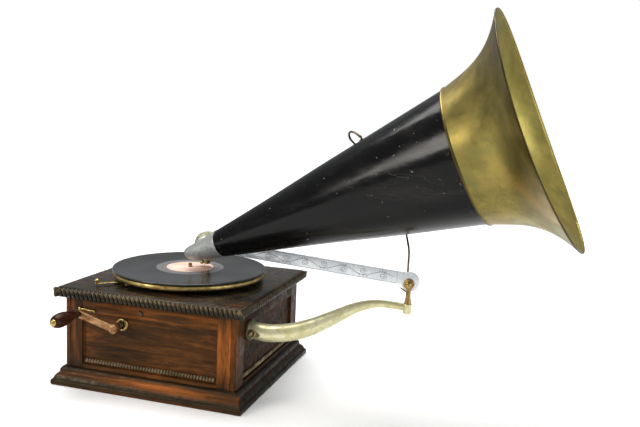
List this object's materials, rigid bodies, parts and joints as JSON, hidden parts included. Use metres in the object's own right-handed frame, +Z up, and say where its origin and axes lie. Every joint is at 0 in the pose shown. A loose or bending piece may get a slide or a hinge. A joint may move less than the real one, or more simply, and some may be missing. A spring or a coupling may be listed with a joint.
{
  "type": "wind-up horn phonograph",
  "caption": "Wind-up phonograph: square wooden case with turntable and crank, curved support arm, travelling arm, soundbox and flared horn.",
  "frame": {"origin": "middle of the underside of the case, on the table", "axes": "+X along the crank side towards the horn's bell, -Y is the crank side, +Z up"},
  "size_m": [0.7843, 0.3869, 0.5968],
  "materials": {
    "walnut": "dark stained wood with worn, orange-brown high spots",
    "rope_edge": "dark carved wood with a bronze glint",
    "handle_wood": "polished dark turned wood",
    "cast_iron": "painted casting",
    "steel": "turned steel",
    "spring_steel": "blued spring steel",
    "aged_brass": "tarnished spun brass",
    "fittings_brass": "worn brass",
    "motor_brass": "machined brass",
    "platter_brass": "tarnished brass",
    "brown_brass": "browned, worn plate over brass",
    "wire": "dull drawn wire",
    "worn_nickel": "nickel worn through to pale brass",
    "soundbox_nickel": "olive, dulled nickel plate",
    "bright_nickel": "engraved bright nickel",
    "pot_metal": "matte grey casting",
    "horn_black": "worn gloss black japan",
    "shellac": "grooved shellac",
    "label_paper": "faded pink paper",
    "felt": "felt",
    "mica": "mica sheet",
    "brake_leather": "leather"
  },
  "bodies": {
    "root": {"plinth_moulding": "walnut", "bottom_board": "walnut", "post_front_left": "walnut", "post_front_right": "walnut", "post_back_left": "walnut", "post_back_right": "walnut", "front_panel": "walnut", "right_panel": "walnut", "back_panel": "walnut", "left_panel": "walnut", "top_board": "walnut", "rope_edge": "rope_edge", "motor_bedplate": "cast_iron", "motor_frame": "cast_iron", "crank_escutcheon": "fittings_brass", "brake_screw": "steel", "support_arm": "worn_nickel", "flange_bolt": "brown_brass"},
    "winding": {"winding_shaft": "steel", "ratchet_wheel": "steel", "crank_arm": "brown_brass", "handle_pin": "fittings_brass"},
    "handle": {"crank_handle": "handle_wood"},
    "click": {"ratchet_click": "steel"},
    "arbor": {"barrel_arbor": "steel", "crown_gear": "cast_iron"},
    "turntable": {"turntable_spindle": "bright_nickel", "worm_wheel": "motor_brass", "platter": "platter_brass", "felt_mat": "felt", "record": "shellac", "record_label": "label_paper"},
    "barrel": {"spring_barrel": "cast_iron", "barrel_cover": "cast_iron", "mainspring": "spring_steel"},
    "intermediate": {"intermediate_shaft": "steel", "intermediate_wheel": "motor_brass"},
    "governor": {"governor_shaft": "steel", "governor_disc": "motor_brass", "governor_weights": "motor_brass"},
    "regulator": {"regulator_lever": "steel"},
    "speed_control": {"speed_screw": "brown_brass"},
    "brake": {"brake_lever": "fittings_brass", "brake_knob": "fittings_brass", "brake_pad": "brake_leather"},
    "latch": {"latch_hook": "fittings_brass"},
    "swivel": {"swivel_stem": "brown_brass", "tilt_screw": "fittings_brass"},
    "arm": {"travelling_arm": "bright_nickel", "horn_cone": "horn_black", "horn_bell": "aged_brass", "horn_wire": "wire", "wire_holder": "brown_brass", "horn_elbow": "pot_metal"},
    "soundbox": {"soundbox_back": "soundbox_nickel", "diaphragm": "mica", "soundbox_ring": "soundbox_nickel", "stylus_bar": "brown_brass", "needle": "steel"},
    "needle_clamp": {"needle_screw": "brown_brass"}
  },
  "joints": [
    {"name": "crank_turn", "type": "hinge", "parent": "root", "child": "winding", "pos_m": [-0.0465, -0.16, 0.107], "axis": [0, 1, 0], "continuous": true},
    {"name": "handle_spin", "type": "hinge", "parent": "winding", "child": "handle", "pos_m": [-0.10923, -0.19, 0.12404], "axis": [0, 1, 0], "continuous": true},
    {"name": "click_lift", "type": "hinge", "parent": "root", "child": "click", "pos_m": [-0.0295, -0.036, 0.119], "axis": [0, 1, 0], "range_deg": [0, 15]},
    {"name": "arbor_turn", "type": "hinge", "parent": "root", "child": "arbor", "pos_m": [-0.0465, 0.02, 0.097], "axis": [0, 0, 1], "continuous": true},
    {"name": "turntable_spin", "type": "hinge", "parent": "root", "child": "turntable", "pos_m": [0, 0, 0.17], "axis": [0, 0, 1], "continuous": true},
    {"name": "intermediate_turn", "type": "hinge", "parent": "root", "child": "intermediate", "pos_m": [-0.00558, 0.02948, 0.1], "axis": [0, 0, 1], "continuous": true},
    {"name": "barrel_turn", "type": "hinge", "parent": "root", "child": "barrel", "pos_m": [-0.0465, 0.02, 0.077], "axis": [0, 0, 1], "continuous": true},
    {"name": "governor_turn", "type": "hinge", "parent": "root", "child": "governor", "pos_m": [0.0219, 0, 0.086], "axis": [0, 1, 0], "continuous": true},
    {"name": "speed_screw_turn", "type": "hinge", "parent": "root", "child": "speed_control", "pos_m": [-0.0129, -0.14, 0.129], "axis": [0, 1, 0], "range_deg": [0, 360]},
    {"name": "regulator_turn", "type": "hinge", "parent": "root", "child": "regulator", "pos_m": [0.002, -0.0555, 0.086], "axis": [0, 0, -1], "range_deg": [0, 4]},
    {"name": "brake_turn", "type": "hinge", "parent": "root", "child": "brake", "pos_m": [-0.07085, -0.08151, 0.1616], "axis": [0, 0, 1], "range_deg": [0, 12]},
    {"name": "latch_turn", "type": "hinge", "parent": "root", "child": "latch", "pos_m": [-0.119, -0.14, 0.1246], "axis": [0, 1, 0], "range_deg": [0, 80]},
    {"name": "arm_swing", "type": "hinge", "parent": "root", "child": "swivel", "pos_m": [0.3755, -0.023, 0.17], "axis": [0, 0, 1], "range_deg": [-3, 32]},
    {"name": "arm_lift", "type": "hinge", "parent": "swivel", "child": "arm", "pos_m": [0.3755, -0.023, 0.1932], "axis": [0.0687, 0.9976, 0], "range_deg": [0, 18]},
    {"name": "soundbox_turn", "type": "hinge", "parent": "arm", "child": "soundbox", "pos_m": [0.02438, 0.0092, 0.212], "axis": [0.0687, 0.9976, 0], "range_deg": [0, 110]},
    {"name": "needle_screw_turn", "type": "hinge", "parent": "soundbox", "child": "needle_clamp", "pos_m": [0.01684, 0.01614, 0.1834], "axis": [-0.9976, 0.0687, 0], "range_deg": [0, 360]}
  ],
  "couplings": [
    {"joint": "arbor_turn", "follows": "crank_turn", "ratio": -0.56296},
    {"joint": "intermediate_turn", "follows": "turntable_spin", "ratio": -0.25},
    {"joint": "barrel_turn", "follows": "turntable_spin", "ratio": 0.041667},
    {"joint": "governor_turn", "follows": "turntable_spin", "ratio": 8},
    {"joint": "regulator_turn", "follows": "speed_screw_turn", "ratio": 0.011111}
  ]
}
